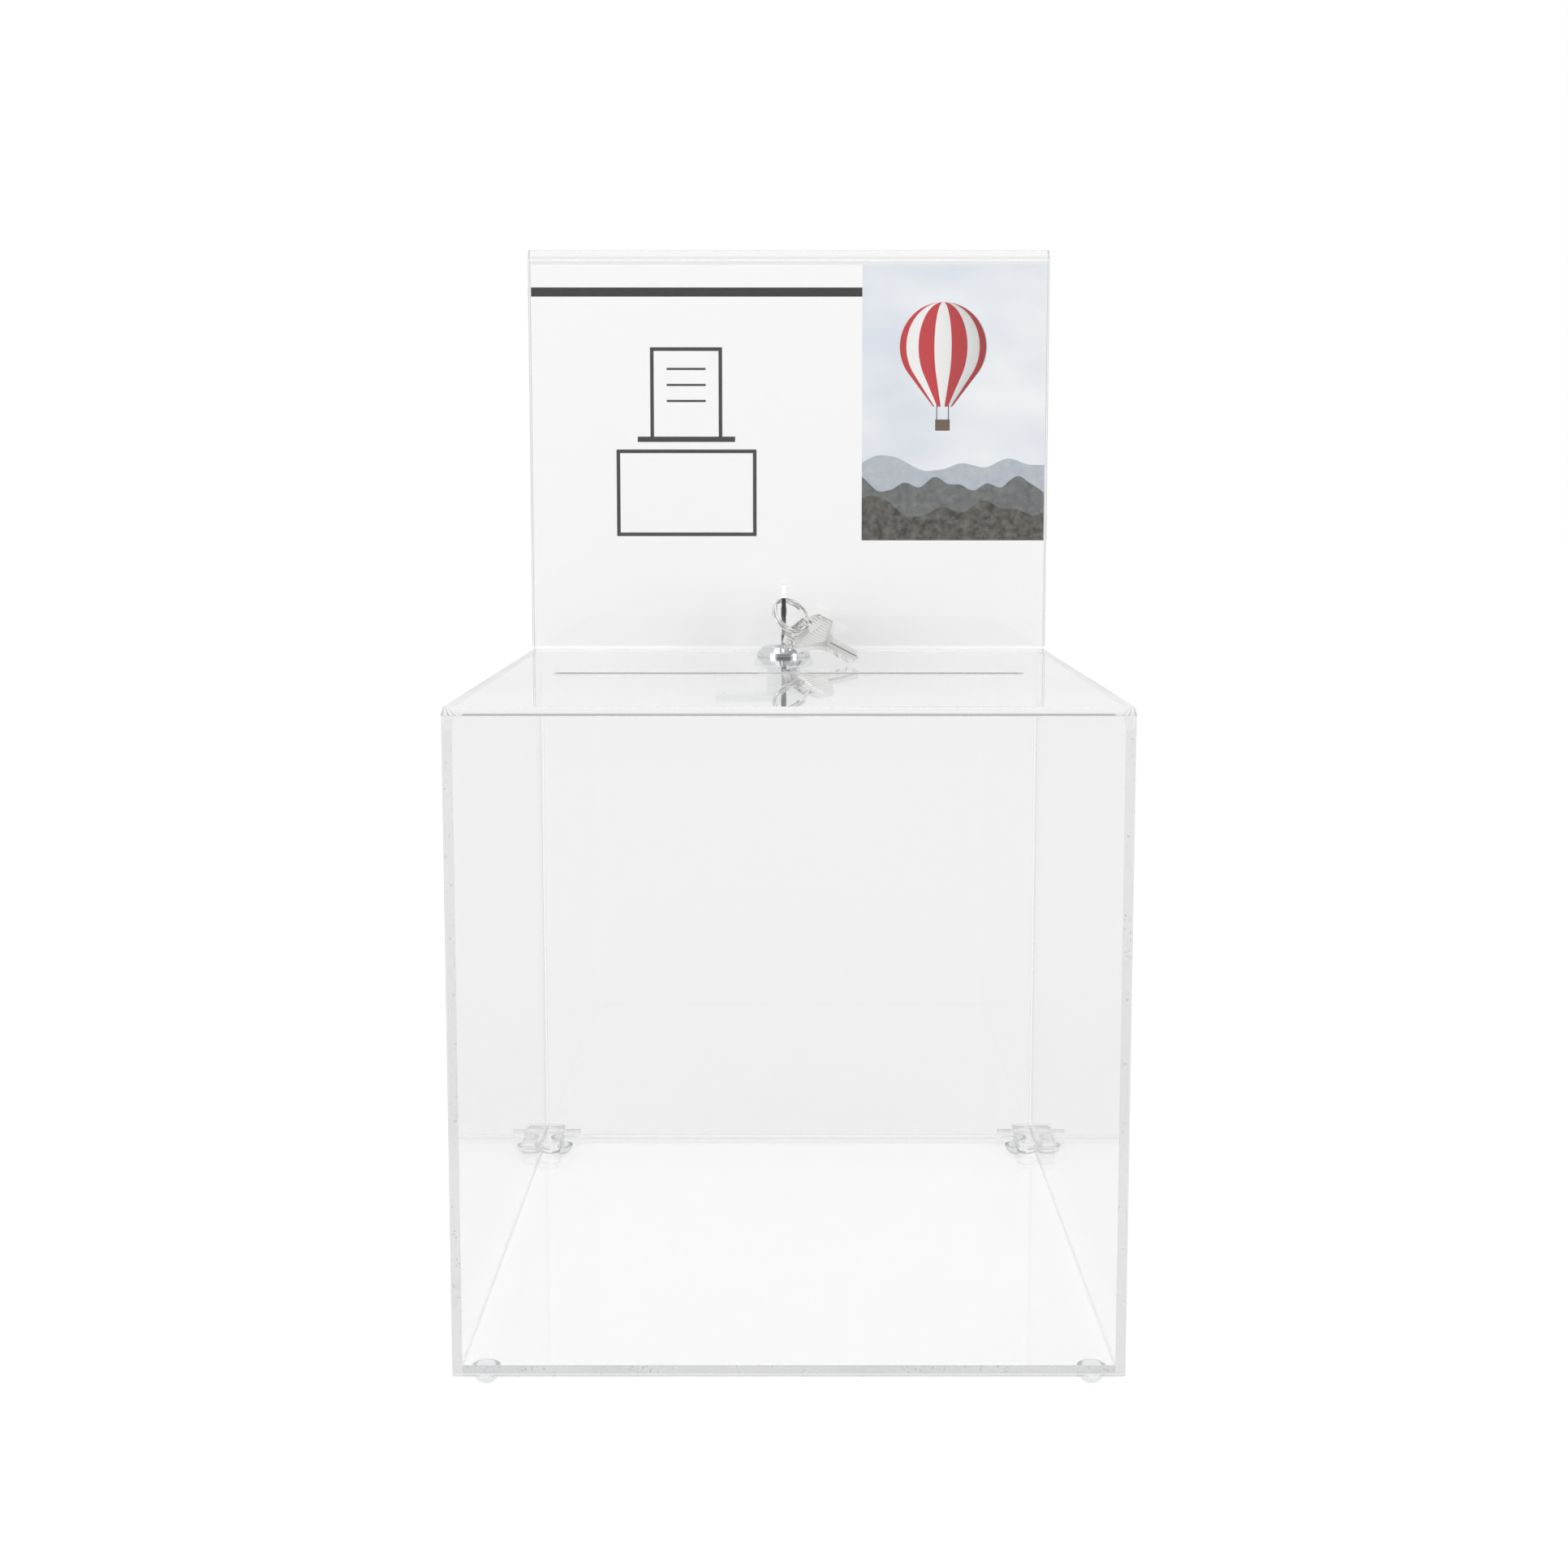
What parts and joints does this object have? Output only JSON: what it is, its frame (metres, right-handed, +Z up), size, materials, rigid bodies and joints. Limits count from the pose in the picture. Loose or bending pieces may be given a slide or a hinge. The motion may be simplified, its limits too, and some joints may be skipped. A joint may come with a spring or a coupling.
{
  "type": "drop box",
  "caption": "Clear acrylic ballot or suggestion box: bent-sheet front, slotted lid and sign pocket, bottom-hinged back door, cam lock with hook cam, and keys on a split ring.",
  "frame": {"origin": "on the plane that the feet stand on, under the middle of the box", "axes": "+Z up, the front wall faces -Y, the door and the sign holder are at +Y"},
  "size_m": [0.212, 0.212, 0.3788],
  "materials": {
    "clear_acrylic": "clear cast acrylic, flame-polished edges",
    "clear_rubber": "clear polyurethane bumper",
    "chrome_plating": "bright chrome plating on die-cast zinc",
    "zinc_plated_steel": "zinc-plated steel",
    "clear_rod": "clear drawn polycarbonate rod",
    "spring_steel": "spring wire",
    "wafer_brass": "punched brass",
    "key_nickel": "nickel plating",
    "printed_card": "smooth printed card"
  },
  "bodies": {
    "box": {"bent_sheet": "clear_acrylic", "left_wall": "clear_acrylic", "right_wall": "clear_acrylic", "floor_panel": "clear_acrylic", "left_hinge_block": "clear_acrylic", "right_hinge_block": "clear_acrylic", "left_hinge_pin": "clear_rod", "right_hinge_pin": "clear_rod", "lock_housing": "chrome_plating", "lock_nut": "zinc_plated_steel", "lock_washer": "zinc_plated_steel", "front_left_foot": "clear_rubber", "front_right_foot": "clear_rubber", "back_left_foot": "clear_rubber", "back_right_foot": "clear_rubber"},
    "door": {"back_door": "clear_acrylic", "door_strike": "clear_acrylic"},
    "lock_core": {"lock_plug": "chrome_plating", "wafer_tumblers": "wafer_brass", "wafer_springs": "spring_steel", "stop_washer": "zinc_plated_steel", "lock_cam": "zinc_plated_steel", "cam_screw": "zinc_plated_steel"},
    "lock_key": {"key": "key_nickel"},
    "ring": {"key_ring": "key_nickel"},
    "spare": {"spare_key": "key_nickel"},
    "card": {"sign_card": "printed_card"}
  },
  "joints": [
    {"name": "door_hinge", "type": "hinge", "parent": "box", "child": "door", "pos_m": [0, 0.1045, 0.0092], "axis": [-1, 0, 0], "range_deg": [0, 90]},
    {"name": "lock_turn", "type": "hinge", "parent": "box", "child": "lock_core", "pos_m": [-0.002, 0.072, 0.2158], "axis": [0, 0, -1], "range_deg": [0, 90]},
    {"name": "key_slide", "type": "slide", "parent": "lock_core", "child": "lock_key", "axis": [0, 0, 1], "range_m": [0, 0.025]},
    {"name": "ring_swing", "type": "hinge", "parent": "lock_key", "child": "ring", "pos_m": [-0.00163, 0.07105, 0.23722], "axis": [-1, 0, 0], "range_deg": [0, 18]},
    {"name": "spare_swing", "type": "hinge", "parent": "ring", "child": "spare", "pos_m": [0.00484, 0.06254, 0.22627], "axis": [-0.7577, -0.3326, -0.5615], "range_deg": [0, 8]},
    {"name": "card_slide", "type": "slide", "parent": "box", "child": "card", "axis": [1, 0, 0], "range_m": [0, 0.22]}
  ]
}
